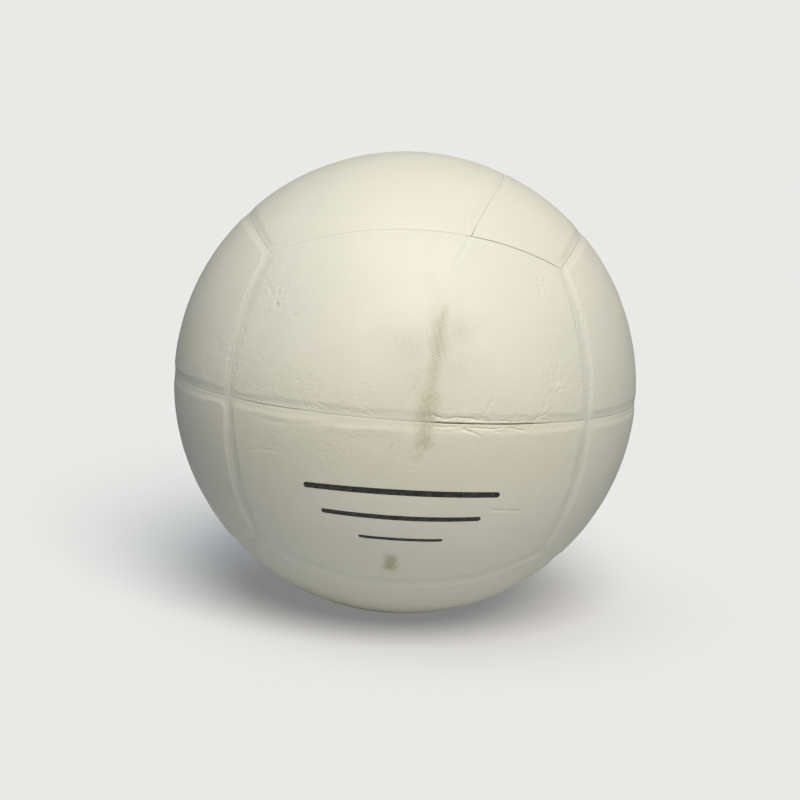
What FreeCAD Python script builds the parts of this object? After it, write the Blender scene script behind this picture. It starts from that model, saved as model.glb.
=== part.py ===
"""A laminated, foam-backed volleyball.

Inside out: a butyl bladder with its valve, a wound thread carcass, a rubber lining, and a cover of twelve
panels, each a skin on its own foam pad.  The panels follow the six faces of a cube blown up on the sphere.
The four side faces are halved along the equator, and each cap is cut in two by one off-centre seam.

The origin is the ball's centre.  +Z runs out through the valve, -Y is the front and +X is the right.
"""
import FreeCAD, Part
import os

SHEET_ROWS = [
    ("ball_radius", 105.0, "outer radius of the inflated ball"),
    ("skin_thickness", 1.3, "panel skin, synthetic leather"),
    ("foam_thickness", 2.4, "foam pad behind each skin"),
    ("lining_thickness", 0.6, "rubber lining over the thread"),
    ("winding_thickness", 0.7, "layer of wound thread"),
    ("bladder_thickness", 0.8, "bladder wall"),
    ("seam_half_gap", 0.15, "half the gap between neighbouring skins"),
    ("foam_half_gap", 0.5, "half the gap between neighbouring foam pads"),
    ("corner_radius", 4.0, "rounding of a panel's corners"),
    ("edge_reach", 3.6, "how far a skin's pressed-down edge reaches into the panel"),
    ("edge_drop", 0.9, "how far a skin's edge is pressed down"),
    ("cap_seam_slope", 0.29, "cap seam: distance off centre over height"),
    ("wedge_near", 50.0, "height where a panel's wedge starts"),
    ("wedge_far", 110.0, "height where a panel's wedge ends"),
    ("patch_radius", 17.0, "reinforcing patch on the bladder"),
    ("patch_thickness", 0.8, "reinforcing patch on the bladder"),
    ("flange_radius", 11.0, "flange of the valve body"),
    ("flange_thickness", 1.5, "flange of the valve body"),
    ("stem_radius", 3.8, "stem of the valve body"),
    ("stem_top", 104.7, "height of the stem's outer end"),
    ("stem_bottom", 86.0, "height of the stem's inner end"),
    ("core_radius", 2.2, "rubber core inside the stem"),
    ("core_lip_radius", 2.7, "lip that keeps the core in the stem"),
    ("core_lip_height", 1.0, "lip that keeps the core in the stem"),
    ("needle_radius", 1.1, "passage for an inflating needle"),
    ("needle_depth", 12.0, "length of the passage for a needle"),
    ("core_length", 16.0, "length of the core"),
]

document = FreeCAD.newDocument("Volleyball")
sheet = document.addObject("Spreadsheet::Sheet", "Sizes")
for row, (alias, value, meaning) in enumerate(SHEET_ROWS, start=1):
    sheet.set(f"A{row}", meaning)
    sheet.set(f"B{row}", str(value))
    sheet.setAlias(f"B{row}", alias)
document.recompute()

# Each layer's outer radius, worked out from the outside in.
SKIN_INNER = "(Sizes.ball_radius - Sizes.skin_thickness)"
FOAM_INNER = f"({SKIN_INNER} - Sizes.foam_thickness)"
LINING_INNER = f"({FOAM_INNER} - Sizes.lining_thickness)"
WINDING_INNER = f"({LINING_INNER} - Sizes.winding_thickness)"
BLADDER_INNER = f"({WINDING_INNER} - Sizes.bladder_thickness)"
PATCH_INNER = f"({BLADDER_INNER} - Sizes.patch_thickness)"
FLANGE_INNER = f"({PATCH_INNER} - Sizes.flange_thickness)"

sub_parts = []


def add(kind, name, **expressions):
    """Add one object and bind its sizes to the sheet."""
    thing = document.addObject(kind, name)
    for size, expression in expressions.items():
        thing.setExpression(size, expression)
    return thing


def boolean(kind, name, base, tool):
    """Add a Part::Cut or a Part::Common of two objects."""
    result = document.addObject(kind, name)
    result.Base = base
    result.Tool = tool
    return result


def shell(name, outer, inner, rotation=FreeCAD.Rotation()):
    """A closed spherical shell between two radii, turned so that its seam stays off the piece cut from it."""
    outside = add("Part::Sphere", f"{name}_outside", Radius=outer)
    inside = add("Part::Sphere", f"{name}_inside", Radius=inner)
    for sphere in (outside, inside):
        sphere.Placement = FreeCAD.Placement(FreeCAD.Vector(), rotation)
    return boolean("Part::Cut", f"{name}_shell", outside, inside)


def rod(name, radius, bottom, top):
    """A cylinder on the valve's axis, from one height to another."""
    cylinder = add("Part::Cylinder", name, Radius=radius, Height=f"{top} - {bottom}")
    cylinder.setExpression("Placement.Base.z", bottom)
    return cylinder


def finish(thing, label):
    """Register an object as a sub-part of the ball."""
    thing.Label = label
    sub_parts.append(thing)


def pierced(name, base):
    """A layer with the round hole that the valve's stem passes through."""
    hole = rod(f"{name}_hole", "Sizes.stem_radius", "Sizes.wedge_near", "Sizes.wedge_far")
    return boolean("Part::Cut", f"{name}_pierced", base, hole)


def disc(name, outer, inner, radius):
    """A round piece of a spherical shell, centred on the valve."""
    reach = rod(f"{name}_reach", radius, "Sizes.wedge_near", "Sizes.wedge_far")
    return boolean("Part::Common", f"{name}_disc", shell(name, outer, inner), reach)


def make_carcass():
    """Bladder, thread winding and rubber lining: three closed layers around the air."""
    layers = [
        ("bladder", WINDING_INNER, BLADDER_INNER),
        ("thread_winding", LINING_INNER, WINDING_INNER),
        ("rubber_lining", FOAM_INNER, LINING_INNER),
    ]
    for label, outer, inner in layers:
        finish(pierced(label, shell(label, outer, inner)), label)


def make_valve():
    """Reinforcing patch, flanged valve body and the core that seals around a needle."""
    patch = disc("patch", BLADDER_INNER, PATCH_INNER, "Sizes.patch_radius")
    finish(pierced("patch", patch), "valve_patch")

    flange = disc("flange", PATCH_INNER, FLANGE_INNER, "Sizes.flange_radius")
    stem = rod("stem", "Sizes.stem_radius", "Sizes.stem_bottom", "Sizes.stem_top")
    body = boolean("Part::Fuse", "flanged_stem", flange, stem)
    core_bottom = "(Sizes.stem_top - Sizes.core_length)"
    seat = rod("core_seat", "Sizes.core_radius", core_bottom, "Sizes.wedge_far")
    lip_bottom = "(Sizes.stem_top - Sizes.core_lip_height)"
    lip_seat = rod("lip_seat", "Sizes.core_lip_radius", lip_bottom, "Sizes.wedge_far")
    bored = boolean("Part::Cut", "bored_stem", body, seat)
    finish(boolean("Part::Cut", "valve_housing", bored, lip_seat), "valve_body")

    plug = rod("plug", "Sizes.core_radius", core_bottom, "Sizes.stem_top")
    lip = rod("lip", "Sizes.core_lip_radius", lip_bottom, "Sizes.stem_top")
    lipped = boolean("Part::Fuse", "lipped_plug", plug, lip)
    passage_bottom = "(Sizes.stem_top - Sizes.needle_depth)"
    passage = rod("passage", "Sizes.needle_radius", passage_bottom, "Sizes.wedge_far")
    finish(boolean("Part::Cut", "core", lipped, passage), "valve_core")


def edge_line(slope, gap, side, height):
    """Where a panel's side plane lies at a height: its slope, moved into the panel by half the seam's gap."""
    return f"({slope}) * {height} - ({side}) * {gap} * sqrt(1 + ({slope})^2)"


def wedge(name, gap, across, along, rotation):
    """The four-sided wedge from the ball's centre that a panel fills.

    across and along are the (low, high) slopes of its side planes, sideways and lengthways.
    """
    near = "Sizes.wedge_near"
    far = "Sizes.wedge_far"
    block = add("Part::Wedge", name, Ymin=near, Ymax=far)
    for letter, slopes in (("X", across), ("Z", along)):
        for end, slope, side in (("min", slopes[0], -1), ("max", slopes[1], 1)):
            block.setExpression(f"{letter}{end}", edge_line(slope, gap, side, near))
            block.setExpression(f"{letter}2{end}", edge_line(slope, gap, side, far))
    block.Placement = FreeCAD.Placement(FreeCAD.Vector(), rotation)
    return block


def round_corners(name, block):
    """Round the wedge's four edges that run out from the ball's centre."""
    document.recompute()
    middle = (sheet.wedge_near + sheet.wedge_far) / 2
    rounded = document.addObject("Part::Fillet", f"{name}_rounded")
    rounded.Base = block
    radius = sheet.corner_radius
    picked = []
    for number, edge in enumerate(block.Shape.Edges, start=1):
        heights = [abs(block.Placement.inverse().multVec(v.Point).y) for v in edge.Vertexes]
        if min(heights) < middle < max(heights):
            picked.append((number, radius, radius))
    rounded.Edges = picked
    return rounded


def press_edges(name, skin):
    """Slope the skin's outer edge down into the seam all the way round."""
    document.recompute()
    pressed = document.addObject("Part::Chamfer", f"{name}_pressed")
    pressed.Base = skin
    picked = []
    for number, edge in enumerate(skin.Shape.Edges, start=1):
        if all(abs(v.Point.Length - sheet.ball_radius) < 0.001 for v in edge.Vertexes):
            picked.append((number, sheet.edge_reach, sheet.edge_drop))
    pressed.Edges = picked
    return pressed


def make_panel(label, across, along, rotation, holds_valve=False):
    """One cover panel: a skin with rounded corners and pressed edges, and the foam pad behind it."""
    skin_wedge = wedge(f"{label}_skin_wedge", "Sizes.seam_half_gap", across, along, rotation)
    skin_wedge = round_corners(f"{label}_skin", skin_wedge)
    skin_shell = shell(f"{label}_skin", "Sizes.ball_radius", SKIN_INNER, rotation)
    skin = boolean("Part::Common", f"{label}_skin_patch", skin_shell, skin_wedge)
    skin = press_edges(f"{label}_skin", skin)

    foam_wedge = wedge(f"{label}_foam_wedge", "Sizes.foam_half_gap", across, along, rotation)
    foam_wedge = round_corners(f"{label}_foam", foam_wedge)
    foam_shell = shell(f"{label}_foam", SKIN_INNER, FOAM_INNER, rotation)
    foam = boolean("Part::Common", f"{label}_foam_patch", foam_shell, foam_wedge)

    if holds_valve:
        skin = pierced(f"{label}_skin", skin)
        foam = pierced(f"{label}_foam", foam)
    finish(skin, f"{label}_skin")
    finish(foam, f"{label}_foam")


def make_belt():
    """Eight panels around the ball: four faces, each halved along the equator."""
    turns = {"back": 0, "left": 90, "front": 180, "right": 270}
    for face, turn in turns.items():
        rotation = FreeCAD.Rotation(FreeCAD.Vector(0, 0, 1), turn)
        make_panel(f"{face}_upper", ("-1", "1"), ("0", "1"), rotation)
        make_panel(f"{face}_lower", ("-1", "1"), ("-1", "0"), rotation)


def make_caps():
    """Two panels on the top and two underneath, with the lower seam a quarter turn from the upper one."""
    right = FreeCAD.Vector(1, 0, 0)
    back = FreeCAD.Vector(0, 1, 0)
    up = FreeCAD.Vector(0, 0, 1)
    top = FreeCAD.Rotation(right, up, -back, "XYZ")
    bottom = FreeCAD.Rotation(back, -up, -right, "XYZ")
    seam = "Sizes.cap_seam_slope"
    make_panel("top_main", ("-1", seam), ("-1", "1"), top, holds_valve=True)
    make_panel("top_side", (seam, "1"), ("-1", "1"), top)
    make_panel("bottom_main", ("-1", seam), ("-1", "1"), bottom)
    make_panel("bottom_side", (seam, "1"), ("-1", "1"), bottom)


def check_and_export():
    """Stop on any failed object, then write each sub-part to its own file."""
    document.recompute()
    for thing in document.Objects:
        if "Invalid" in thing.State or "Error" in thing.State:
            raise RuntimeError(f"{thing.Name} failed: {thing.State}")
    for thing in sub_parts:
        if thing.Shape.isNull() or not thing.Shape.isValid() or len(thing.Shape.Solids) != 1:
            raise RuntimeError(f"{thing.Label} has no single valid solid")
    os.makedirs("parts", exist_ok=True)
    for thing in sub_parts:
        thing.Shape.exportStep(f"parts/{thing.Label}.step")
        print(f"{thing.Label:20s} {thing.Shape.Volume / 1000:8.3f} cm3")


make_carcass()
make_valve()
make_belt()
make_caps()
check_and_export()
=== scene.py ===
"""The looks of a worn, ivory-coloured volleyball, built from the bladder outwards.

The ball's centre is the origin, +Z runs out through the valve, -Y is the front and +X is the right.
The scene is in metres. The cover and its marks are sized in millimetres. A place on the cover is given on the
face of a cube around the ball, whose edges are at -1 and 1.
"""
import math
import random

import bpy
import numpy as np
from mathutils import Matrix, Vector, noise


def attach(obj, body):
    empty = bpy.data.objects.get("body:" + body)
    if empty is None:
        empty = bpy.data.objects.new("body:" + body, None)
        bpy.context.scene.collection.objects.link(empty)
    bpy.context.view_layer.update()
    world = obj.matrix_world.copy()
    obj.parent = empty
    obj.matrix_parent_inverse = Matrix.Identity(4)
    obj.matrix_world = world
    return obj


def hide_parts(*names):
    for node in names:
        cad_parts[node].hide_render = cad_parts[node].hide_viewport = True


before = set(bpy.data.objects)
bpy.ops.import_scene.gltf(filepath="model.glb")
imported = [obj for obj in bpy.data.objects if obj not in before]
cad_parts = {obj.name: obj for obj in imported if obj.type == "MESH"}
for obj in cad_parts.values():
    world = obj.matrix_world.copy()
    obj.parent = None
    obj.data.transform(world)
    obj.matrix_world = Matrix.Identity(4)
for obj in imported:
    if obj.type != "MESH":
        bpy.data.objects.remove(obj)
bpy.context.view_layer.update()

# Bladder, its patch and the valve.
# The bladder is a butyl rubber balloon. A round patch thickens it where the flanged valve body is cured on,
# and a soft core pushed into the valve closes around the inflating needle.


def add_node(tree, kind, inputs=None, **settings):
    """One shader node, with its sockets either linked or set."""
    made = tree.nodes.new("ShaderNode" + kind)
    for name, value in settings.items():
        setattr(made, name, value)
    for socket, value in (inputs or {}).items():
        if isinstance(value, bpy.types.NodeSocket):
            tree.links.new(value, made.inputs[socket])
        else:
            made.inputs[socket].default_value = value
    return made


def blend_colours(tree, amount, low, high):
    """A colour between two, by an amount from 0 to 1."""
    made = add_node(tree, "Mix", data_type="RGBA")
    for socket, value in ((made.inputs[0], amount), (made.inputs[6], low), (made.inputs[7], high)):
        if isinstance(value, bpy.types.NodeSocket):
            tree.links.new(value, socket)
        else:
            socket.default_value = value
    return made.outputs[2]


def spread(tree, value, low, high, to_low=0.0, to_high=1.0):
    """A value stretched from one range to another, and kept inside it."""
    sockets = {"Value": value, "From Min": low, "From Max": high, "To Min": to_low, "To Max": to_high}
    return add_node(tree, "MapRange", sockets).outputs[0]


def combine(tree, operation, first, second=0.5):
    """Two values added, multiplied or otherwise put together."""
    return add_node(tree, "Math", {0: first, 1: second}, operation=operation).outputs[0]


def start_finish(name):
    """A new material, with its node tree, its shader and the place on the ball."""
    material = bpy.data.materials.new(name)
    material.use_nodes = True
    tree = material.node_tree
    place = add_node(tree, "TexCoord").outputs["Object"]
    return material, tree, tree.nodes["Principled BSDF"], place


def cloud(tree, place, size_mm, detail=3.0, roughness=0.5):
    """Soft, cloudy noise whose patches are about size_mm across, from 0 to 1."""
    sockets = {"Vector": place, "Scale": 1000.0 / size_mm, "Detail": detail, "Roughness": roughness}
    return add_node(tree, "TexNoise", sockets).outputs[0]


def relief(tree, shader, height, depth_mm):
    """A bump of the given depth on the shader's normal."""
    bump = add_node(tree, "Bump", {"Height": height, "Distance": depth_mm / 1000.0, "Strength": 1.0})
    tree.links.new(bump.outputs[0], shader.inputs["Normal"])


def rubber(name, dark, bloom, bloom_mm, pit_mm):
    """Cured rubber: a dull dark skin, a cloudy pale bloom, and fine mould pits."""
    material, tree, shader, place = start_finish(name)
    clouds = cloud(tree, place, bloom_mm)
    pits = cloud(tree, place, pit_mm, detail=2.0)
    shade = blend_colours(tree, spread(tree, clouds, 0.45, 0.75), (*dark, 1), (*bloom, 1))
    tree.links.new(shade, shader.inputs["Base Color"])
    tree.links.new(spread(tree, pits, 0.3, 0.7, to_low=0.55, to_high=0.8), shader.inputs["Roughness"])
    relief(tree, shader, pits, depth_mm=0.08)
    return material


def finish_node(node, material):
    """Give a piece of the design its real finish."""
    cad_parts[node].data.materials.clear()
    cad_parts[node].data.materials.append(material)


BUTYL_BLACK = (0.018, 0.018, 0.019)
BUTYL_BLOOM = (0.06, 0.058, 0.055)
VALVE_BLACK = (0.03, 0.03, 0.03)
VALVE_BLOOM = (0.085, 0.08, 0.075)

butyl = rubber("butyl_rubber", BUTYL_BLACK, BUTYL_BLOOM, bloom_mm=14.0, pit_mm=0.5)
valve_rubber = rubber("valve_rubber", VALVE_BLACK, VALVE_BLOOM, bloom_mm=3.0, pit_mm=0.3)
for piece in ("bladder", "valve_patch"):
    finish_node(piece, butyl)
for piece in ("valve_body", "valve_core"):
    finish_node(piece, valve_rubber)

# Thread winding.
# Kilometres of nylon thread are wound over the bladder in every direction, so that the ball keeps its size.
# The turns cross at all angles and are stuck down with latex.

# How each layer of the winding is turned, about three axes.
WINDING_TURNS = ((0.0, 0.0, 0.0), (0.9, 0.3, 0.0), (0.3, 1.2, 0.6), (1.4, 0.2, 1.9), (0.6, 0.9, 2.6))
LATEX_BROWN = (0.30, 0.24, 0.15, 1)
THREAD_WHITE = (0.78, 0.76, 0.68, 1)


def wound_thread(name):
    """Bands of thread, laid at several angles over each other."""
    material, tree, shader, place = start_finish(name)
    height = None
    for turn in WINDING_TURNS:
        sockets = {"Vector": place, "Rotation": turn}
        turned = add_node(tree, "VectorRotate", sockets, rotation_type="EULER_XYZ")
        sockets = {"Vector": turned.outputs[0], "Scale": 260.0, "Distortion": 0.6, "Detail": 1.0}
        bands = add_node(tree, "TexWave", sockets).outputs[1]
        height = bands if height is None else combine(tree, "MAXIMUM", height, bands)
    shade = blend_colours(tree, spread(tree, height, 0.6, 1.0), LATEX_BROWN, THREAD_WHITE)
    tree.links.new(shade, shader.inputs["Base Color"])
    tree.links.new(spread(tree, height, 0.5, 1.0, to_low=0.75, to_high=0.45), shader.inputs["Roughness"])
    relief(tree, shader, height, depth_mm=0.4)
    return material


finish_node("thread_winding", wound_thread("nylon_thread"))

# Rubber lining.
# A thin natural rubber skin is cured over the winding.
# It gives the padded panels a smooth bed to be glued to.

LINING_BROWN = (0.26, 0.17, 0.09)
LINING_BLOOM = (0.40, 0.29, 0.17)

lining = rubber("natural_rubber", LINING_BROWN, LINING_BLOOM, bloom_mm=22.0, pit_mm=0.7)
finish_node("rubber_lining", lining)

# Foam pads.
# Each panel is backed with a closed-cell foam pad, cut a little smaller than the skin so that the skin's edge
# can be pressed down into the seam.

FOAM_CREAM = (0.74, 0.71, 0.60, 1)
FOAM_YELLOWED = (0.62, 0.56, 0.40, 1)


def closed_cell_foam(name):
    """Pale foam with round cells of mixed size, yellowed in patches."""
    material, tree, shader, place = start_finish(name)
    cells = add_node(tree, "TexVoronoi", {"Vector": place, "Scale": 1400.0}).outputs["Distance"]
    patches = cloud(tree, place, 25.0)
    shade = blend_colours(tree, patches, FOAM_CREAM, FOAM_YELLOWED)
    tree.links.new(shade, shader.inputs["Base Color"])
    tree.links.new(spread(tree, cells, 0.0, 0.6, to_low=0.95, to_high=0.75), shader.inputs["Roughness"])
    relief(tree, shader, cells, depth_mm=0.25)
    return material


foam = closed_cell_foam("foam")
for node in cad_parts:
    if node.endswith("_foam"):
        finish_node(node, foam)

# Cover skins: twelve panels of synthetic leather on the six faces of a cube blown up on the ball. The belt is
# halved at the equator and each cap is cut once. The edges are pressed down and glued edge to edge, so each
# seam is a shallow valley with a hairline in it. Age has creased and soiled the skin.

# The ball's radius, and how far out the skin's upper side and its underside lie.
BALL_RADIUS = 105.0
SURFACE_RADIUS = 104.95
SKIN_BED = 103.72
SKIN_CEILING = BALL_RADIUS - 0.02
SKIN_FLOOR = SKIN_BED + 0.08
# Which ways each face's right, its top and its outer side look.
FACES = {
    "front": ((1, 0, 0), (0, 0, 1), (0, -1, 0)),
    "right": ((0, 1, 0), (0, 0, 1), (1, 0, 0)),
    "back": ((-1, 0, 0), (0, 0, 1), (0, 1, 0)),
    "left": ((0, -1, 0), (0, 0, 1), (-1, 0, 0)),
    "top": ((1, 0, 0), (0, 1, 0), (0, 0, 1)),
    "bottom": ((1, 0, 0), (0, -1, 0), (0, 0, -1)),
}


def face_axes(face):
    """The ways to a face's right, its top and outwards."""
    return [np.array(axis, float) for axis in FACES[face]]


def on_ball(face, sideways, upwards):
    """Unit direction of a place on a face. The face's edges are at -1 and 1."""
    right, up, out = face_axes(face)
    way = np.multiply.outer(sideways, right) + np.multiply.outer(upwards, up) + out
    return way / np.linalg.norm(way, axis=-1, keepdims=True)


def ease(amount):
    """A smooth step from 0 to 1."""
    amount = np.clip(amount, 0.0, 1.0)
    return amount * amount * (3.0 - 2.0 * amount)


# What brings the noise to about 1, and how far each seed moves it.
NOISE_TO_ONE = 1.6
SEED_STEPS = (7.31, 3.17, 5.77)


def rolling(places, size_mm, seed):
    """Smooth noise between about -1 and 1, with features of size_mm."""
    shift = Vector([seed * step for step in SEED_STEPS])
    scaled = places / size_mm
    return np.array([noise.noise(Vector(place) + shift) for place in scaled.tolist()]) * NOISE_TO_ONE


# A crease: the face it is on, the places it runs through, how wide its two flanks are and how deep it is, in
# millimetres. Drawn to the right, the first flank is the upper one. A negative depth is a ridge.
CREASES = [
    # The sprung seam: the folds above its lip and the folds under it.
    ("front", ((0.076, 0.036), (0.10, 0.031), (0.127, 0.020)), (0.3, 0.9), 0.24),
    (
        "front",
        ((0.127, 0.020), (0.150, 0.026), (0.190, 0.028), (0.243, 0.023), (0.289, 0.017), (0.338, 0.008)),
        (0.3, 1.0),
        0.26,
    ),
    ("front", ((0.190, 0.028), (0.230, 0.029), (0.270, 0.026), (0.300, 0.029)), (0.3, 0.8), 0.14),
    (
        "front",
        ((0.338, 0.008), (0.366, 0.016), (0.40, 0.014), (0.442, 0.011), (0.50, 0.014)),
        (0.3, 0.8),
        0.22,
    ),
    ("front", ((0.085, -0.008), (0.135, -0.010), (0.189, -0.008)), (0.3, 0.8), 0.20),
    ("front", ((0.189, -0.008), (0.214, -0.019), (0.247, -0.033), (0.287, -0.044)), (0.4, 0.9), 0.32),
    (
        "front",
        ((0.20, -0.009), (0.26, -0.013), (0.326, -0.016), (0.354, -0.015), (0.397, -0.008)),
        (0.3, 0.7),
        0.20,
    ),
    ("front", ((0.33, -0.017), (0.345, -0.026), (0.37, -0.030)), (0.3, 0.7), 0.18),
    ("front", ((0.397, -0.008), (0.436, -0.018), (0.478, -0.026), (0.50, -0.030)), (0.3, 0.8), 0.22),
    # The fan of wrinkles at the sprung seam's right end.
    ("front", ((0.53, 0.010), (0.576, 0.031), (0.635, 0.051)), (0.4, 0.8), 0.20),
    ("front", ((0.55, 0.018), (0.59, 0.058), (0.612, 0.093), (0.616, 0.149)), (0.6, 0.5), 0.22),
    ("front", ((0.616, 0.149), (0.63, 0.20), (0.655, 0.267)), (0.6, 0.6), 0.16),
    ("front", ((0.64, 0.10), (0.670, 0.126), (0.717, 0.160), (0.782, 0.170)), (0.5, 0.7), 0.18),
    ("front", ((0.661, 0.280), (0.677, 0.177), (0.707, 0.204), (0.734, 0.236)), (0.5, 0.6), 0.15),
    ("front", ((0.297, 0.048), (0.313, 0.088), (0.329, 0.110)), (0.9, 0.9), 0.16),
    # A long fold down the upper panel with a ridge beside it, and the thin wrinkles on its left.
    (
        "front",
        ((0.112, 0.47), (0.094, 0.386), (0.080, 0.268), (0.068, 0.194), (0.050, 0.06)),
        (2.2, 3.0),
        0.42,
    ),
    ("front", ((0.140, 0.475), (0.122, 0.40), (0.110, 0.333), (0.100, 0.208)), (1.6, 1.6), -0.16),
    ("front", ((-0.018, 0.063), (-0.005, 0.098), (0.010, 0.142)), (0.8, 0.8), 0.24),
    ("front", ((-0.008, 0.086), (0.012, 0.144), (0.056, 0.218)), (0.7, 0.8), 0.20),
    ("front", ((0.05, -0.02), (0.045, -0.08), (0.03, -0.12)), (1.6, 1.8), 0.22),
    # Wrinkles from the foot of the cap seam.
    (
        "front",
        ((0.286, 0.985), (0.250, 0.90), (0.211, 0.823), (0.172, 0.726), (0.174, 0.647)),
        (1.0, 0.9),
        0.30,
    ),
    ("front", ((0.33, 0.965), (0.40, 0.945), (0.50, 0.93)), (0.8, 0.8), 0.18),
    ("top", ((0.262, -0.98), (0.246, -0.87), (0.256, -0.70), (0.275, -0.55)), (0.8, 0.8), 0.22),
    # Wrinkles near the upper corners.
    ("front", ((-0.897, 0.739), (-0.84, 0.67), (-0.779, 0.602), (-0.693, 0.503)), (0.8, 0.8), 0.07),
    ("front", ((-0.670, 0.672), (-0.687, 0.548)), (0.7, 0.7), 0.10),
    ("front", ((-0.74, 0.66), (-0.73, 0.58), (-0.70, 0.52)), (0.6, 0.6), 0.09),
    ("front", ((0.754, 0.838), (0.725, 0.76), (0.712, 0.687)), (0.8, 0.8), 0.20),
    ("front", ((0.669, 0.737), (0.665, 0.68), (0.672, 0.635)), (0.8, 0.8), 0.14),
    # Faint sags in the lower panel.
    ("front", ((0.357, -0.390), (0.46, -0.415), (0.576, -0.443)), (0.8, 0.9), 0.18),
    ("front", ((-0.888, -0.271), (-0.80, -0.24), (-0.708, -0.208), (-0.563, -0.191)), (0.9, 1.0), 0.07),
    ("front", ((-0.871, -0.045), (-0.598, -0.058), (-0.342, -0.033), (-0.117, -0.022)), (1.6, 2.0), 0.12),
    # The same kind of wear out of sight of the front.
    ("back", ((-0.52, 0.020), (-0.43, 0.028), (-0.34, 0.018), (-0.22, 0.024)), (0.3, 1.0), 0.26),
    ("back", ((-0.46, -0.010), (-0.38, -0.022), (-0.30, -0.034)), (0.4, 0.9), 0.30),
    ("back", ((-0.35, 0.06), (-0.30, 0.15), (-0.32, 0.27), (-0.30, 0.38)), (1.6, 2.2), 0.34),
    ("back", ((0.35, -0.30), (0.48, -0.36), (0.62, -0.37)), (0.9, 1.0), 0.20),
    ("back", ((0.80, 0.72), (0.72, 0.62), (0.69, 0.50)), (0.9, 0.9), 0.26),
    ("left", ((0.20, 0.55), (0.28, 0.42), (0.30, 0.28)), (1.0, 1.2), 0.22),
    ("left", ((-0.70, -0.20), (-0.55, -0.24), (-0.40, -0.22)), (0.9, 1.0), 0.20),
    ("right", ((0.10, 0.62), (0.05, 0.48), (0.08, 0.35)), (1.0, 1.2), 0.22),
    ("right", ((0.40, -0.15), (0.52, -0.20), (0.66, -0.19)), (0.9, 1.0), 0.20),
    ("top", ((-0.75, 0.30), (-0.62, 0.36), (-0.50, 0.34)), (1.0, 1.0), 0.22),
    ("top", ((0.55, -0.20), (0.58, 0.00), (0.54, 0.18)), (1.0, 1.0), 0.18),
    ("bottom", ((-0.40, 0.55), (-0.20, 0.50), (0.00, 0.53)), (1.0, 1.0), 0.22),
]
# Small side creases: the face, the stretch they branch from, how many there are and their longest length.
BRANCHES = [
    ("front", (0.10, 0.014), (0.56, 0.012), 22, 4.5),
    ("front", (0.12, -0.012), (0.50, -0.020), 18, 4.0),
    ("front", (0.60, 0.06), (0.70, 0.26), 14, 5.0),
    ("front", (-0.90, 0.72), (-0.66, 0.50), 12, 5.0),
    ("front", (0.74, 0.86), (0.66, 0.62), 10, 5.0),
    ("front", (-0.93, 0.48), (-0.95, 0.12), 12, 5.0),
    ("front", (0.95, 0.86), (0.95, 0.10), 18, 5.0),
    ("front", (-0.85, 0.03), (-0.10, 0.03), 14, 5.0),
    ("back", (-0.52, 0.012), (-0.22, 0.012), 14, 5.0),
    ("back", (0.80, 0.72), (0.66, 0.46), 8, 6.0),
    ("left", (0.94, 0.80), (0.95, 0.15), 12, 6.0),
    ("right", (-0.94, 0.80), (-0.95, 0.15), 12, 6.0),
    ("top", (-0.90, -0.95), (0.90, -0.95), 10, 5.0),
]
chance = random.Random(11)
for face, start, end, number, longest in BRANCHES:
    for _ in range(number):
        share, turn = chance.random(), chance.uniform(-0.9, 0.9) + chance.choice((0.0, 0.0, 1.2))
        reach = chance.uniform(0.35, 1.0) * longest / BALL_RADIUS / 2
        middle = [a + (b - a) * share + chance.gauss(0.0, 0.009) for a, b in zip(start, end)]
        step = (reach * math.cos(turn), reach * math.sin(turn))
        bend = chance.gauss(0.0, 0.25) * reach
        line = (
            (middle[0] - step[0], middle[1] - step[1]),
            (middle[0] - bend * math.sin(turn), middle[1] + bend * math.cos(turn)),
            (middle[0] + step[0], middle[1] + step[1]),
        )
        flanks = (chance.uniform(0.4, 0.7), chance.uniform(0.5, 1.0))
        CREASES.append((face, line, flanks, chance.uniform(0.05, 0.15)))
# Crumpled patches: face, centre, reach in millimetres sideways and upwards, and strength.
CRUMPLED_PATCHES = [
    ("front", (0.32, 0.018), (30.0, 4.5), 1.0),
    ("front", (0.66, 0.15), (9.0, 17.0), 0.9),
    ("front", (-0.78, 0.60), (9.0, 13.0), 0.65),
    ("front", (0.71, 0.75), (7.0, 12.0), 0.8),
    ("front", (-0.55, 0.10), (40.0, 9.0), 0.45),
    ("front", (-0.95, 0.40), (5.0, 30.0), 0.3),
    ("front", (0.95, 0.45), (5.0, 40.0), 0.6),
    ("left", (0.80, 0.35), (10.0, 22.0), 0.7),
    ("right", (-0.70, 0.25), (16.0, 20.0), 0.6),
    ("back", (-0.36, 0.02), (26.0, 6.0), 1.0),
    ("back", (0.60, -0.60), (14.0, 16.0), 0.7),
    ("back", (0.74, 0.62), (10.0, 14.0), 0.8),
    ("top", (-0.60, 0.40), (22.0, 14.0), 0.6),
    ("bottom", (0.10, 0.20), (30.0, 24.0), 0.8),
]
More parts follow.
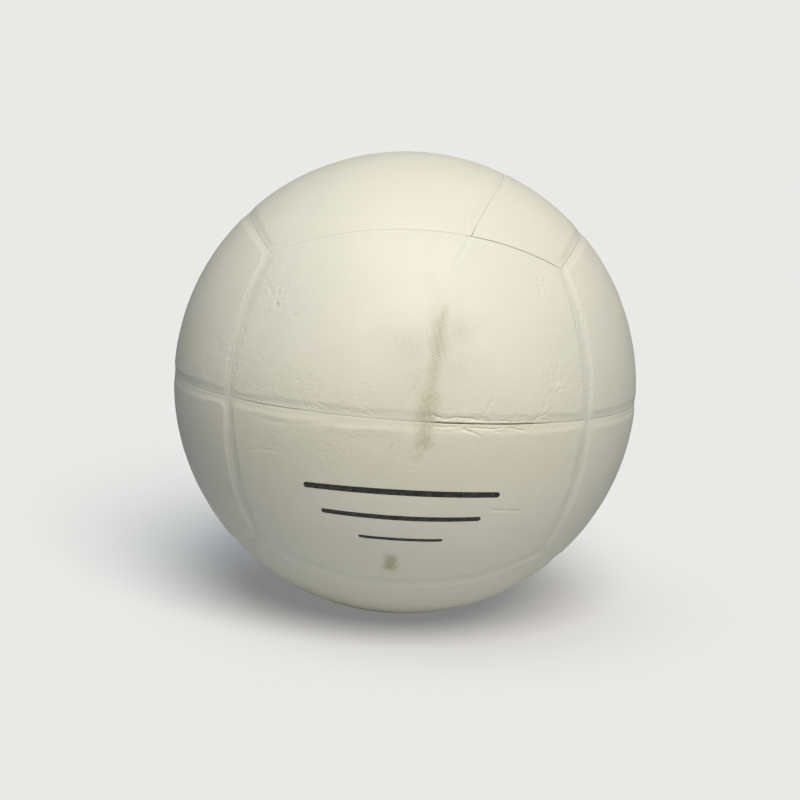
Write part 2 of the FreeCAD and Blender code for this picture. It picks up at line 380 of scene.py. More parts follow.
# Soiling: face, the places it runs through, its half width in millimetres and its strength.
SOILING = [
    ("front", ((0.122, 0.475), (0.112, 0.43), (0.102, 0.386)), 2.4, 0.52),
    ("front", ((0.104, 0.40), (0.094, 0.34), (0.087, 0.268), (0.080, 0.21)), 3.2, 0.55),
    ("front", ((0.084, 0.24), (0.072, 0.14), (0.064, 0.10)), 4.0, 0.57),
    ("front", ((0.064, 0.10), (0.056, 0.05), (0.055, 0.0), (0.057, -0.074)), 6.0, 0.64),
    ("front", ((0.057, -0.06), (0.036, -0.13)), 4.0, 0.48),
    ("front", ((-0.32, -0.055), (-0.24, -0.062), (-0.12, -0.050), (-0.05, -0.060)), 4.5, 0.38),
    ("front", ((-0.062, -0.05), (-0.072, -0.11)), 1.4, 0.42),
    ("front", ((-0.045, -0.71), (-0.052, -0.78)), 3.3, 0.90),
    ("front", ((-0.80, 0.10), (-0.40, 0.06), (0.0, 0.05), (0.40, 0.06)), 14.0, 0.23),
    ("front", ((-0.75, -0.14), (-0.20, -0.14), (0.30, -0.12), (0.60, -0.10)), 22.0, 0.31),
    ("front", ((-0.02, 0.30), (0.02, 0.20)), 9.0, 0.10),
    ("front", ((-0.702, 0.528), (-0.699, 0.520)), 0.50, 1.0),
    ("front", ((-0.575, 0.446), (-0.538, 0.452)), 0.35, 0.55),
    ("front", ((0.35, -0.10), (0.20, -0.16), (0.05, -0.20)), 9.0, 0.10),
    ("left", ((0.55, 0.30), (0.35, 0.18)), 6.0, 0.18),
    ("right", ((-0.30, -0.40), (0.10, -0.30)), 6.0, 0.18),
    ("back", ((-0.30, 0.38), (-0.32, 0.22), (-0.31, 0.02)), 3.0, 0.40),
    ("back", ((0.45, -0.50), (0.60, -0.62)), 4.5, 0.26),
    ("top", ((-0.40, -0.10), (-0.70, 0.20)), 6.0, 0.16),
    ("bottom", ((-0.30, 0.30), (0.20, 0.10), (0.35, -0.25)), 12.0, 0.34),
]
# Patches where the cloth behind the skin prints through: face, centre, reach in millimetres and strength.
WEAVE_PATCHES = [
    ("front", (0.095, 0.32), (6.5, 13.5), 1.0),
    ("front", (0.17, 0.37), (8.0, 7.0), 0.75),
    ("front", (0.16, 0.22), (9.0, 7.0), 0.6),
    ("front", (-0.01, 0.29), (13.0, 9.0), 0.6),
    ("front", (0.02, 0.17), (9.0, 7.0), 0.5),
    ("back", (-0.30, 0.25), (12.0, 16.0), 0.9),
]
# Patches where the grain has roughened: face, centre, reach in millimetres and strength.
ROUGH_PATCHES = [
    ("front", (-0.48, 0.12), (40.0, 15.0), 1.0),
    ("front", (0.06, 0.08), (22.0, 9.0), 0.7),
    ("front", (0.68, 0.25), (16.0, 30.0), 0.8),
    ("front", (0.35, 0.0), (38.0, 8.0), 0.9),
    ("front", (-0.75, 0.60), (14.0, 20.0), 0.9),
    ("front", (-0.25, -0.12), (50.0, 14.0), 1.0),
    ("front", (0.45, -0.18), (30.0, 14.0), 0.6),
    ("front", (0.55, 0.92), (26.0, 9.0), 0.6),
    ("back", (-0.30, 0.05), (40.0, 16.0), 1.0),
    ("back", (0.55, -0.55), (24.0, 20.0), 0.9),
    ("left", (0.60, -0.20), (24.0, 24.0), 0.8),
    ("right", (-0.50, 0.20), (24.0, 24.0), 0.8),
    ("top", (-0.50, 0.30), (30.0, 24.0), 0.8),
    ("bottom", (0.10, 0.10), (50.0, 40.0), 1.0),
]
# Stretches where a seam's hairline shows: face, centre, reach in millimetres and strength.
SEAM_LINES = [
    ("front", (-0.45, 0.0), (50.0, 8.0), 0.4),
    ("front", (0.45, 0.0), (62.0, 8.0), 1.0),
    ("front", (0.62, 1.0), (38.0, 10.0), 1.0),
    ("top", (0.32, -0.85), (10.0, 22.0), 0.12),
    ("back", (-0.40, 0.0), (40.0, 8.0), 0.9),
]
# Stretches where a seam's valley has filled out: face, centre, reach in millimetres and strength.
FLAT_SEAMS = [
    ("top", (0.34, -0.35), (22.0, 70.0), 0.72),
    ("front", (-1.0, 0.45), (16.0, 40.0), 0.62),
    ("back", (1.0, -0.40), (16.0, 40.0), 0.50),
    ("bottom", (-1.0, 0.30), (16.0, 30.0), 0.40),
]
# Seams that have sprung open: face, the two ends of the stretch, and the half gap in millimetres.
OPEN_SEAMS = [
    ("front", (0.108, 0.0), (0.13, 0.0), 0.16),
    ("front", (0.13, 0.0), (0.46, 0.0), 0.20),
    ("front", (0.46, 0.0), (0.52, 0.0), 0.15),
    ("front", (0.52, 0.0), (0.60, 0.0), 0.07),
    ("front", (-0.78, 0.0), (-0.50, 0.0), 0.05),
    ("front", (0.32, 1.0), (0.92, 1.0), 0.12),
    ("back", (-0.48, 0.0), (-0.30, 0.0), 0.22),
]


def line_place(places, face, points):
    """For each place, how far it is from a line drawn on a face, which side it is on, and how far along."""
    out = face_axes(face)[2]
    corners = [on_ball(face, *point) * SURFACE_RADIUS for point in points]
    lengths = [np.linalg.norm(end - start) for start, end in zip(corners, corners[1:])]
    gap = np.full(len(places), np.inf)
    side = np.zeros(len(places))
    share = np.zeros(len(places))
    run = 0.0
    for start, end, length in zip(corners, corners[1:], lengths):
        along = (end - start) / length
        reached = np.clip((places - start) @ along, 0.0, length)
        away = places - start - reached[:, None] * along
        distance = np.linalg.norm(away, axis=1)
        closer = distance < gap
        gap = np.where(closer, distance, gap)
        side = np.where(closer, np.sign(away @ np.cross(out, along)), side)
        share = np.where(closer, (run + reached) / sum(lengths), share)
        run += length
    return gap, side, share


# How far a patch reaches in and out of the ball.
PATCH_DEPTH = 60.0


def patches_strength(places, patches):
    """How deep each place is in the strongest of some soft-edged oval patches, from 0 to 1."""
    strongest = np.zeros(len(places))
    for face, centre, reach, strength in patches:
        away = places - on_ball(face, *centre) * SURFACE_RADIUS
        ovals = [(away @ axis / size) ** 2 for axis, size in zip(face_axes(face), (*reach, PATCH_DEPTH))]
        strongest = np.maximum(strongest, strength * np.exp(-sum(ovals)))
    return strongest


# How clearly a seam's hairline shows where nothing marks it, how deep it is and how far it reaches.
PLAIN_LINE = 0.12
HAIRLINE_DROP = 0.17
HAIRLINE_REACH = 0.5


def seam_line(places):
    """How clearly the hairline of a seam shows, up to 1."""
    return PLAIN_LINE + (1.0 - PLAIN_LINE) * patches_strength(places, SEAM_LINES)


# How deep a seam's valley is, how much that varies and over what length, and how round its shoulders are.
SEAM_DROP = 0.42
SEAM_WAVER = 0.18
SEAM_WAVER_SIZE = 16.0
SEAM_WAVER_SEED = 12
SHOULDER_ROUNDNESS = 1.5


def seam_valley(distance, reach, places):
    """How far a skin is pressed down near its edge: a round shoulder, a flat bed and a hairline."""
    waver = SEAM_WAVER * rolling(places, SEAM_WAVER_SIZE, SEAM_WAVER_SEED)
    drop = SEAM_DROP * (1.0 - patches_strength(places, FLAT_SEAMS) + waver)
    bed = 1.0 - ease(np.clip(distance / reach, 0.0, 1.0) ** SHOULDER_ROUNDNESS)
    hairline = HAIRLINE_DROP * seam_line(places) * np.exp(-((distance / HAIRLINE_REACH) ** 2))
    return drop * bed + hairline


# The padding's broad swells and small dimples: their height and their size.
SWELL, SWELL_SIZE = 0.10, 30.0
DIMPLE, DIMPLE_SIZE = 0.035, 8.0


def uneven(places, seed):
    """Height in millimetres that the padding's soft unevenness adds to the smooth skin."""
    return SWELL * rolling(places, SWELL_SIZE, seed) + DIMPLE * rolling(places, DIMPLE_SIZE, seed + 1)


# A crease wanders by a part of its flank, grows shallow at its ends, and has a low rim pushed up beside it.
CREASE_WANDER, CREASE_WANDER_SIZE, CREASE_WANDER_SEED = 0.25, 2.2, 5
CREASE_END_DEPTH, CREASE_END_SHARE = 0.15, 0.22
CREASE_RIM, CREASE_RIM_PLACE, CREASE_RIM_WIDTH = 0.22, 1.5, 0.8
# How far from a crease the skin still feels it, in flanks and in millimetres.
CREASE_FLANKS, CREASE_MARGIN = 4.0, 4.0
# Crumples: their height and size, how sharp their folds are, and the weakest patch that shows any.
CRUMPLE, CRUMPLE_SIZE, CRUMPLE_SHARPNESS, CRUMPLE_LEAST = 0.075, 2.5, 2.4, 0.03


def creased(places, seed):
    """Height in millimetres that creases and crumples add to the smooth skin."""
    height = np.zeros(len(places))
    for face, points, (upper, lower), depth in CREASES:
        start = on_ball(face, *points[0]) * SURFACE_RADIUS
        end = on_ball(face, *points[-1]) * SURFACE_RADIUS
        felt = np.linalg.norm(end - start) / 2 + CREASE_FLANKS * max(upper, lower) + CREASE_MARGIN
        near = np.flatnonzero(np.linalg.norm(places - (start + end) / 2, axis=1) < felt)
        if len(near) == 0:
            continue
        gap, side, share = line_place(places[near], face, points)
        wander = rolling(places[near], CREASE_WANDER_SIZE, CREASE_WANDER_SEED)
        signed = gap * side + CREASE_WANDER * min(upper, 1.0) * wander
        across = np.abs(signed) / np.where(signed > 0, upper, lower)
        inwards = ease(np.minimum(share, 1.0 - share) / CREASE_END_SHARE)
        fade = CREASE_END_DEPTH + (1.0 - CREASE_END_DEPTH) * inwards
        rim = CREASE_RIM * ease(1.0 - np.abs(across - CREASE_RIM_PLACE) / CREASE_RIM_WIDTH)
        height[near] -= depth * fade * (ease(1.0 - across) - rim)
    crumpled = patches_strength(places, CRUMPLED_PATCHES)
    near = np.flatnonzero(crumpled > CRUMPLE_LEAST)
    folds = 1.0 - CRUMPLE_SHARPNESS * np.abs(rolling(places[near], CRUMPLE_SIZE, seed + 3))
    height[near] += CRUMPLE * crumpled[near] * folds
    return height


# How much the edge of a soiled stretch wanders, and over what length.
SOILING_WANDER, SOILING_WANDER_SIZE, SOILING_WANDER_SEED = 0.25, 5.0, 3


def soiled(places):
    """How dirty each place is, from 0 to 1."""
    dirt = np.zeros(len(places))
    edge = 1.0 + SOILING_WANDER * rolling(places, SOILING_WANDER_SIZE, SOILING_WANDER_SEED)
    for face, points, width, strength in SOILING:
        gap, _, _ = line_place(places, face, points)
        dirt = np.maximum(dirt, strength * np.exp(-((gap / (width * edge)) ** 2)))
    return dirt


# How far past its ends a sprung seam closes, how high its lip curls for each millimetre of half gap, how far
# above the seam the lip's crest lies, and how wide the crest is.
SPRUNG_FADE = 3.0
LIP_CURL = 1.3
LIP_PLACE = 0.55
LIP_WIDTH = 0.5


def open_seam(places):
    """Half gap, in millimetres, where an old seam has sprung open."""
    parted = np.zeros(len(places))
    for face, start, end, gap in OPEN_SEAMS:
        distance, _, _ = line_place(places, face, (start, end))
        parted = np.maximum(parted, gap * np.exp(-((distance / SPRUNG_FADE) ** 2)))
    return parted


def curled_lip(places):
    """Height in millimetres by which the upper skin's edge has curled up along a sprung seam."""
    above = np.where(places[:, 2] > 0, places[:, 2], np.inf)
    return LIP_CURL * open_seam(places) * np.exp(-(((above - LIP_PLACE) / LIP_WIDTH) ** 2))


def edge_planes(face, across, along):
    """The inward normals of the four planes that cut a panel out of the ball."""
    right, up, out = face_axes(face)
    planes = []
    for axis, (low, high) in ((right, across), (up, along)):
        planes.append((axis - low * out) / math.hypot(1.0, low))
        planes.append((high * out - axis) / math.hypot(1.0, high))
    return planes


# How many marks at each end of a grid stay fine, and how fast the later ones grow apart.
FINE_MARKS = 14
GRADING = 1.15


def graded(low, high, fine, coarse):
    """Marks from low to high: close together near both ends and further apart in the middle."""
    half = (high - low) / 2
    marks, step = [0.0], fine
    while marks[-1] < half:
        marks.append(marks[-1] + step)
        if len(marks) > FINE_MARKS:
            step = min(step * GRADING, coarse)
    marks = np.array(marks) * half / marks[-1]
    return np.concatenate([low + marks, (high - marks[::-1])[1:]])


# The cap seam's place on the top, and how far it bows. The bow grows from the front of the top and is gone
# towards the back. It takes the skin on both sides with it, but not the skin round the valve or lower down.
CAP_SEAM = 0.29
CAP_SEAM_BOW = 0.100
BOW_START, BOW_GROWTH, BOW_END = -1.15, 1.05, 0.9
BOW_REACH = 0.22
VALVE_CLEAR, VALVE_CLEAR_FADE = 0.06, 0.20
BOW_LOWEST = 0.3
# How far the equator lies above its true line, how much it slopes down to the right, and how far up and down
# the skin follows it.
EQUATOR_RISE, EQUATOR_TILT = 0.45, 1.1
EQUATOR_REACH = 0.14
# The least height that a way is divided by.
LEAST_RISE = 1e-6


def wandered(ways):
    """Places moved as the cap seam and the equator wander off their true lines."""
    rise = ways[:, 2]
    sideways = ways[:, 0] / np.maximum(rise, LEAST_RISE)
    upwards = ways[:, 1] / np.maximum(rise, LEAST_RISE)
    bow = ease((upwards - BOW_START) / BOW_GROWTH) * (1.0 - ease(upwards / BOW_END))
    beside_seam = np.exp(-(((sideways - CAP_SEAM) / BOW_REACH) ** 2))
    clear_of_valve = ease((np.hypot(sideways, upwards) - VALVE_CLEAR) / VALVE_CLEAR_FADE)
    shift = CAP_SEAM_BOW * bow * beside_seam * clear_of_valve * (rise > BOW_LOWEST)
    tilt = (EQUATOR_RISE - EQUATOR_TILT * ways[:, 0]) / BALL_RADIUS * np.exp(-((rise / EQUATOR_REACH) ** 2))
    moved = ways + np.stack([shift * rise, np.zeros(len(ways)), tilt], axis=1)
    return moved / np.linalg.norm(moved, axis=1, keepdims=True)


def put_in_scene(name, data):
    """A mesh, lamp or lens made into a piece of the scene."""
    piece = bpy.data.objects.new(name, data)
    bpy.context.scene.collection.objects.link(piece)
    return piece


def closed_sheet(name, top, under, quads):
    """A closed piece: its upper side, its underside on the same grid, and the walls between them."""
    count = len(top)
    edges = np.concatenate([quads[:, [0, 1]], quads[:, [1, 2]], quads[:, [2, 3]], quads[:, [3, 0]]])
    sides = {}
    for a, b in edges.tolist():
        if (b, a) in sides:
            del sides[(b, a)]
        else:
            sides[(a, b)] = True
    walls = [(b, a, a + count, b + count) for a, b in sides]
    mesh = bpy.data.meshes.new(name)
    points = np.concatenate([top, under]) / 1000.0
    mesh.from_pydata(points.tolist(), [], quads.tolist() + (quads[:, ::-1] + count).tolist() + walls)
    mesh.update()
    return put_in_scene(name, mesh)


# The hole for the valve. Its rings stay round out to two hole radii, and turn square over the next four.
VALVE_HOLE_RADIUS = 3.9
RINGS_START, RINGS_FADE = 2.0, 4.0
RIM_SLACK = 1.01
LEAST_CIRCLE = 1e-9


def round_the_valve(sideways, upwards, quads, coarse):
    """A grid bent from squares to rings around the valve, with its middle left out."""
    rim = VALVE_HOLE_RADIUS / BALL_RADIUS
    square = np.maximum(np.abs(sideways), np.abs(upwards))
    circle = np.maximum(np.hypot(sideways, upwards), LEAST_CIRCLE)
    bend = 1.0 - ease((square - RINGS_START * rim) / (RINGS_FADE * rim))
    quads = quads[square[quads].min(axis=1) >= rim]
    rings = 1.0 + bend * (square / circle - 1.0)
    innermost = np.zeros(len(square), bool)
    innermost[np.unique(quads)] = True
    innermost &= square < rim + RIM_SLACK * coarse
    open_sided = np.bincount(quads.ravel(), minlength=len(square)) < 4
    rings = np.where(innermost & open_sided, rim / circle, rings)
    return sideways * rings, upwards * rings, quads


# How tightly the valleys' edges round the corners of a panel, and how far in from an edge that is worked out.
CORNER_ROUNDING = 1.3
CORNER_FARTHEST = 40.0
# How far a valley reaches near a crossing, how much further in mid seam, and how much that varies.
VALLEY_REACH = 3.6
MID_SEAM_REACH, MID_SEAM_START = 1.0, 24.0
VALLEY_WANDER, VALLEY_WANDER_SIZE = 0.45, 9.0
# How near to an edge creases stop and unevenness starts to fade.
CREASE_STOP = 0.4
SWELL_STOP = 4.0
# How far two edges stand apart where a hairline shows clearly, and how far in the skin gives way to it.
HAIRLINE_PARTING = 0.012
PARTING_REACH = 1.5


def panel_skin(name, face, across, along, fine, coarse, seed, pierced):
    """One closed skin: a fine grid over the panel, its pressed edges, its underside and its cut sides."""
    fine, coarse = fine / BALL_RADIUS, coarse / BALL_RADIUS
    columns, rows = (graded(math.atan(low), math.atan(high), fine, coarse) for low, high in (across, along))
    sideways, upwards = np.meshgrid(columns, rows, indexing="ij")
    sideways, upwards = sideways.ravel(), upwards.ravel()
    index = np.arange(len(sideways)).reshape(len(columns), len(rows))
    quads = np.stack([index[:-1, :-1], index[1:, :-1], index[1:, 1:], index[:-1, 1:]], -1).reshape(-1, 4)

    if pierced:
        sideways, upwards, quads = round_the_valve(sideways, upwards, quads, coarse)

    ways = on_ball(face, np.tan(sideways), np.tan(upwards))
    planes = edge_planes(face, across, along)
    gaps = [np.arcsin(np.clip(ways @ plane, -1.0, 1.0)) * BALL_RADIUS for plane in planes]
    nearest = np.min(gaps, axis=0)
    second = np.sort(gaps, axis=0)[1]
    closeness = sum(np.exp(-np.minimum(gap, CORNER_FARTHEST) / CORNER_ROUNDING) for gap in gaps)
    rounded = -CORNER_ROUNDING * np.log(closeness)
    places = ways * SURFACE_RADIUS
    worn = wandered(ways) * SURFACE_RADIUS

    # Panels meet with a wide valley in mid seam and a narrower one towards the crossings.
    reach = VALLEY_REACH + MID_SEAM_REACH * ease(second / MID_SEAM_START)
    reach += VALLEY_WANDER * rolling(places, VALLEY_WANDER_SIZE, seed + 4)
    valley = seam_valley(np.maximum(rounded, 0.0), reach, places)
    height = (creased(worn, seed) + curled_lip(places)) * ease(nearest / CREASE_STOP)
    height += uneven(worn, seed) * ease(nearest / SWELL_STOP) - valley
    parting = HAIRLINE_PARTING * seam_line(places) + open_seam(places)
    for gap, plane in zip(gaps, planes):
        shift = parting * np.exp(-((gap / PARTING_REACH) ** 2)) / BALL_RADIUS
        ways = ways + shift[:, None] * plane
    ways = wandered(ways)
    radius = np.minimum(SURFACE_RADIUS + height, SKIN_CEILING)
    radius = np.maximum(radius, SKIN_FLOOR)
    top = ways * radius[:, None]
    under = ways * SKIN_BED

    used = np.unique(quads)
    renumber = np.full(len(top), -1)
    renumber[used] = np.arange(len(used))
    piece = closed_sheet(name, top[used], under[used], renumber[quads])
    mesh = piece.data
    marks = {
        "soiling": soiled(worn),
        "seam": seam_line(places) * np.exp(-((np.maximum(nearest, 0.0) / HAIRLINE_REACH) ** 2)),
        "weave": patches_strength(worn, WEAVE_PATCHES),
        "rough": patches_strength(worn, ROUGH_PATCHES),
        "crumpled": patches_strength(worn, CRUMPLED_PATCHES),
    }
    for label, values in marks.items():
        layer = mesh.attributes.new(label, "FLOAT", "POINT")
        layer.data.foreach_set("value", np.tile(values[used], 2).astype(np.float32))
    smooth = [number < 2 * len(quads) for number in range(len(mesh.polygons))]
    mesh.polygons.foreach_set("use_smooth", smooth)
    mesh.update()
    return piece


FRESH_IVORY = (0.780, 0.745, 0.650, 1)
DULL_IVORY = (0.742, 0.715, 0.622, 1)
YELLOWED_IVORY = (0.66, 0.62, 0.48, 1)
LIGHT_STAIN = (0.72, 0.665, 0.45, 1)
DARK_STAIN = (0.45, 0.40, 0.245, 1)
HATCH_BROWN = (0.42, 0.36, 0.26, 1)
# A darker tone laid along each seam's hairline, between the panels.
SEAM_HAIRLINE_DARK = (0.40, 0.36, 0.27, 1)


def hatching(tree, place, pitch_mm, slant):
    """Fine parallel lines at a slant on the front and back of the ball, from 0 to 1."""
    turned = add_node(tree, "VectorRotate", {"Vector": place, "Angle": slant}, rotation_type="Y_AXIS")
    scale = math.tau * 50.0 / pitch_mm
    sockets = {"Vector": turned.outputs[0], "Scale": scale, "Distortion": 0.8, "Detail": 1.0}
    return add_node(tree, "TexWave", sockets).outputs[1]


def worn_leather(name):
    """Ivory synthetic leather: fine grain, cloudy yellowing, soiled creases, and cloth printing through."""
    material, tree, shader, place = start_finish(name)
    soiling, seam, weave, rough, crumpled = (
        add_node(tree, "Attribute", attribute_name=label).outputs["Fac"]
        for label in ("soiling", "seam", "weave", "rough", "crumpled")
    )
    clouds = cloud(tree, place, 60.0, detail=4.0)
    blotches = cloud(tree, place, 9.0, detail=6.0, roughness=0.65)
    specks = cloud(tree, place, 1.3, detail=3.0, roughness=0.7)
    lines = hatching(tree, place, pitch_mm=0.95, slant=-0.62)
    cross_lines = hatching(tree, place, pitch_mm=1.15, slant=-1.0)
    both_lines = combine(tree, "ADD", lines, combine(tree, "MULTIPLY", cross_lines, 0.45))
    threads = combine(tree, "MULTIPLY", both_lines, weave)

    base = blend_colours(tree, spread(tree, clouds, 0.35, 0.65), FRESH_IVORY, DULL_IVORY)
    aged = blend_colours(tree, spread(tree, blotches, 0.5, 0.8, to_high=0.20), base, YELLOWED_IVORY)
    speckled = spread(tree, specks, 0.3, 0.7, to_low=0.72, to_high=1.15)
    grit = combine(tree, "ADD", speckled, combine(tree, "MULTIPLY", threads, -0.35))
    grime = combine(tree, "MULTIPLY", soiling, grit)
    stain = blend_colours(tree, spread(tree, grime, 0.15, 0.60), LIGHT_STAIN, DARK_STAIN)
    dirty = blend_colours(tree, grime, aged, stain)
    hatched = blend_colours(tree, combine(tree, "MULTIPLY", threads, 0.28), dirty, HATCH_BROWN)
    # The skin is darkened along each seam's hairline, most where the hairline shows clearly.
    line = combine(tree, "MULTIPLY", seam, spread(tree, blotches, 0.35, 0.7, to_high=0.20))
    tree.links.new(blend_colours(tree, line, hatched, SEAM_HAIRLINE_DARK), shader.inputs["Base Color"])

    pebble_sockets = {"Vector": place, "Scale": 850.0, "Smoothness": 0.4}
    pebbles = add_node(tree, "TexVoronoi", pebble_sockets, feature="SMOOTH_F1").outputs["Distance"]
    worms = cloud(tree, place, 1.7, detail=3.0, roughness=0.6)
    pebbled = combine(tree, "SUBTRACT", worms, combine(tree, "MULTIPLY", pebbles, 0.6))
    islands = spread(tree, cloud(tree, place, 14.0, detail=3.0), 0.42, 0.62, to_low=0.25)
    patchy = combine(tree, "MULTIPLY", rough, islands)
    coarseness = combine(tree, "ADD", combine(tree, "MULTIPLY", patchy, 0.50), 0.10)
    grain = combine(tree, "MULTIPLY", pebbled, coarseness)
    fine_grain = combine(tree, "MULTIPLY", cloud(tree, place, 0.6, detail=3.0, roughness=0.6), 0.14)
    wrinkles = cloud(tree, place, 2.6, detail=4.0, roughness=0.6)
    folds = combine(tree, "ABSOLUTE", combine(tree, "SUBTRACT", wrinkles, 0.5))
    folded = combine(tree, "MULTIPLY", combine(tree, "MULTIPLY", folds, -1.3), crumpled)
    both_grains = combine(tree, "ADD", grain, fine_grain)
    height = combine(tree, "ADD", both_grains, combine(tree, "MULTIPLY", threads, -0.62))
    relief(tree, shader, combine(tree, "ADD", height, folded), depth_mm=0.26)
    tree.links.new(spread(tree, blotches, 0.3, 0.7, to_low=0.50, to_high=0.64), shader.inputs["Roughness"])
    shader.inputs["Specular IOR Level"].default_value = 0.35
    return material


# The finest and the widest pitch of the grid, on the front and elsewhere.
FRONT_GRID = (0.26, 0.58)
OTHER_GRID = (0.38, 1.1)
SEEDS_PER_PANEL = 10

leather = worn_leather("ivory_leather")
halves = (("upper", (0.0, 1.0)), ("lower", (-1.0, 0.0)))
panels = [
    (f"{face}_{half}_skin", face, (-1.0, 1.0), along)
    for face in ("front", "right", "back", "left")
    for half, along in halves
]
panels += [
    ("top_main_skin", "top", (-1.0, CAP_SEAM), (-1.0, 1.0)),
    ("top_side_skin", "top", (CAP_SEAM, 1.0), (-1.0, 1.0)),
    ("bottom_main_skin", "bottom", (-1.0, 1.0), (-CAP_SEAM, 1.0)),
    ("bottom_side_skin", "bottom", (-1.0, 1.0), (-1.0, -CAP_SEAM)),
]
for seed, (node, face, across, along) in enumerate(panels):
    grid = FRONT_GRID if face == "front" else OTHER_GRID
    pierced = node == "top_main_skin"
    piece = panel_skin(f"cover_{node}", face, across, along, *grid, seed * SEEDS_PER_PANEL, pierced)
    piece.data.materials.append(leather)
    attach(piece, "root")
    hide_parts(node)

# Printed rules.
# Three plain black rules are screen printed on the lower front panel, one under the other. The ink is a thin
# film that lies in the grain of the skin.

# How far the ink stands above the skin and sinks into it, and how far a rule sags towards its ends.
INK_DEPTH = 0.03
RULE_SAG = 0.17
# The pitch of the grid along a rule, its rows as shares of the half width, and how blunt its ends are.
RULE_PITCH = 0.6
RULE_ROWS = (-1.0, -0.5, 0.0, 0.5, 1.0)
RULE_BLUNTNESS = 0.02
FRONT_LOWER_SEED = SEEDS_PER_PANEL * [node for node, *_ in panels].index("front_lower_skin")
# Each rule: its height on the face, its two ends and its width in millimetres.
RULES = ((-0.29, -0.45, 0.41, 2.9), (-0.42, -0.37, 0.34, 2.6), (-0.55, -0.20, 0.18, 1.9))


def printed_rule(name, height, left, right, width):
    """A strip of ink with round ends, laid on the skin."""
    steps = int((right - left) * BALL_RADIUS / RULE_PITCH)
    sideways = np.linspace(left, right, steps + 1)
    half = width / 2 / BALL_RADIUS
    from_end = np.minimum(sideways - left, right - sideways)
    narrowed = 1.0 - (1.0 - np.clip(from_end / half, 0.0, 1.0)) ** 2
    thin = half * np.sqrt(np.clip(narrowed, RULE_BLUNTNESS, 1.0))
    level = height - RULE_SAG * sideways**2
    ways = np.concatenate([on_ball("front", sideways, level + share * thin) for share in RULE_ROWS])
    places = ways * SURFACE_RADIUS
    lift = creased(places, FRONT_LOWER_SEED) + uneven(places, FRONT_LOWER_SEED) + SURFACE_RADIUS
    top = ways * (lift + INK_DEPTH)[:, None]
    under = ways * (lift - INK_DEPTH)[:, None]
    index = np.arange(len(ways)).reshape(len(RULE_ROWS), steps + 1)
    quads = np.stack([index[:-1, :-1], index[:-1, 1:], index[1:, 1:], index[1:, :-1]], -1).reshape(-1, 4)
    return closed_sheet(name, top, under, quads)


INK_BLACK = (0.012, 0.012, 0.011, 1)
INK_RUBBED = (0.09, 0.085, 0.07, 1)


def worn_ink(name):
    """Black screen ink, rubbed grey in places."""
    material, tree, shader, place = start_finish(name)
    rubbed = spread(tree, cloud(tree, place, 1.6, detail=5.0, roughness=0.7), 0.45, 0.75)
    tree.links.new(blend_colours(tree, rubbed, INK_BLACK, INK_RUBBED), shader.inputs["Base Color"])
    tree.links.new(spread(tree, rubbed, 0.0, 1.0, to_low=0.42, to_high=0.65), shader.inputs["Roughness"])
    relief(tree, shader, cloud(tree, place, 0.7), depth_mm=0.05)
    return material


ink = worn_ink("printed_ink")
for number, (height, left, right, width) in enumerate(RULES, start=1):
    strip = printed_rule(f"printed_rule_{number}", height, left, right, width)
    strip.data.materials.append(ink)
    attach(strip, "root")

# Floor, lights and camera.
# The ball rests on a wide pale floor under a broad soft light from above and in front.

FLOOR_HEIGHT = -0.105
FLOOR_RADIUS = 60.0
FLOOR_SIDES = 96
# How far from the ball's centre the floor's near tone ends and its far tone begins.
TONES_MEET = (0.15, 0.25)


def studio_floor(name, near_tone, far_tone, glow):
    """A wide round floor, with one tone near the ball and another far off."""
    mesh = bpy.data.meshes.new(name)
    turns = [math.tau * corner / FLOOR_SIDES for corner in range(FLOOR_SIDES)]
    rim = [(FLOOR_RADIUS * math.cos(turn), FLOOR_RADIUS * math.sin(turn), FLOOR_HEIGHT) for turn in turns]
    mesh.from_pydata(rim, [], [tuple(range(FLOOR_SIDES))])
    floor = put_in_scene(name, mesh)
    material, tree, shader, place = start_finish(name)
    away = add_node(tree, "VectorMath", {0: place}, operation="LENGTH").outputs["Value"]
    tone = blend_colours(tree, spread(tree, away, *TONES_MEET), (*near_tone, 1), (*far_tone, 1))
    dusty = blend_colours(tree, cloud(tree, place, 400.0), tone, (*far_tone, 1))
    tree.links.new(dusty, shader.inputs["Base Color"])
    shader.inputs["Roughness"].default_value = 0.9
    shader.inputs["Specular IOR Level"].default_value = 0.0
    shader.inputs["Emission Color"].default_value = (1.0, 1.0, 1.0, 1)
    shader.inputs["Emission Strength"].default_value = glow
    mesh.materials.append(material)
    return floor


SUN_SPREAD = 40.0


def soft_sun(name, azimuth, elevation, strength, colour):
    """A wide, even studio light. Azimuth 0 is in front of the ball, and grows to the right."""
    lamp = bpy.data.lights.new(name, "SUN")
    lamp.angle = math.radians(SUN_SPREAD)
    lamp.energy = strength
    lamp.color = colour
    around, above = math.radians(azimuth), math.radians(elevation)
    level = math.cos(above)
    source = Vector((math.sin(around) * level, -math.cos(around) * level, math.sin(above)))
    put_in_scene(name, lamp).rotation_euler = (-source).to_track_quat("-Z", "Y").to_euler()
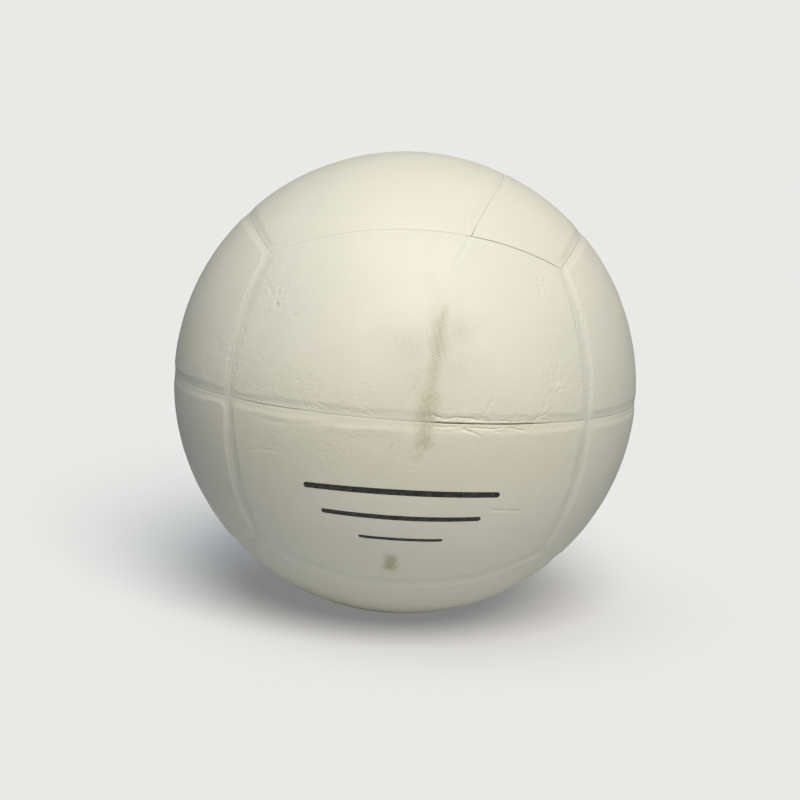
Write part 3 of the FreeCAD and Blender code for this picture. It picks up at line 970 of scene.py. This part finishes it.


# The floor that is seen is pale. Its darker twin only lights the ball, and keeps the ball's sides in shade.
# Near the ball the seen floor is painted a shade darker, a faint painted shadow round it.
PALE_NEAR_SHADED = (0.676, 0.676, 0.681)
PALE_FAR = (0.697, 0.697, 0.702)
BOUNCE_NEAR = (1.0, 1.0, 0.97)
BOUNCE_FAR = (0.32, 0.35, 0.395)
seen_floor = studio_floor("pale_floor", PALE_NEAR_SHADED, PALE_FAR, glow=0.22)
seen_floor.visible_diffuse = False
seen_floor.visible_glossy = False
seen_floor.visible_shadow = False
bounce_floor = studio_floor("bounce_floor", BOUNCE_NEAR, BOUNCE_FAR, glow=0.0)
bounce_floor.visible_camera = False
bounce_floor.visible_shadow = False
soft_sun("key", azimuth=13.0, elevation=46.5, strength=2.93, colour=(1.0, 0.97, 0.885))
soft_sun("top", azimuth=-25.0, elevation=75.0, strength=0.90, colour=(0.78, 0.90, 1.0))

# The studio's far walls are as pale as the floor, and are too far away to light the ball.
WALL_TONE = (0.819, 0.819, 0.801, 1)
world = bpy.data.worlds.new("studio")
world.use_nodes = True
world.node_tree.nodes["Background"].inputs["Color"].default_value = WALL_TONE
world.cycles_visibility.diffuse = False
world.cycles_visibility.glossy = False
bpy.context.scene.world = world
bpy.context.scene.view_settings.view_transform = "Standard"

# The camera: the way to it from the ball, its upward way, how far off it is, and the place it looks at.
VIEW_FROM = Vector((-0.0297, -0.9885, 0.1480))
VIEW_UP = Vector((-0.0539, 0.1494, 0.9873))
VIEW_DISTANCE = 0.7165
VIEW_RIGHT = VIEW_UP.cross(VIEW_FROM).normalized()
AIM = -0.00225 * VIEW_RIGHT - 0.0079 * VIEW_UP
FOCAL_LENGTH = 70.2
SENSOR_WIDTH = 36.0

lens = bpy.data.cameras.new("camera")
lens.lens = FOCAL_LENGTH
lens.sensor_width = SENSOR_WIDTH
camera = put_in_scene("camera", lens)
sight = (VIEW_DISTANCE * VIEW_FROM - AIM).normalized()
level = VIEW_UP.cross(sight).normalized()
turn = Matrix((level, sight.cross(level), sight)).transposed()
camera.matrix_world = Matrix.Translation(VIEW_DISTANCE * VIEW_FROM) @ turn.to_4x4()
bpy.context.scene.camera = camera
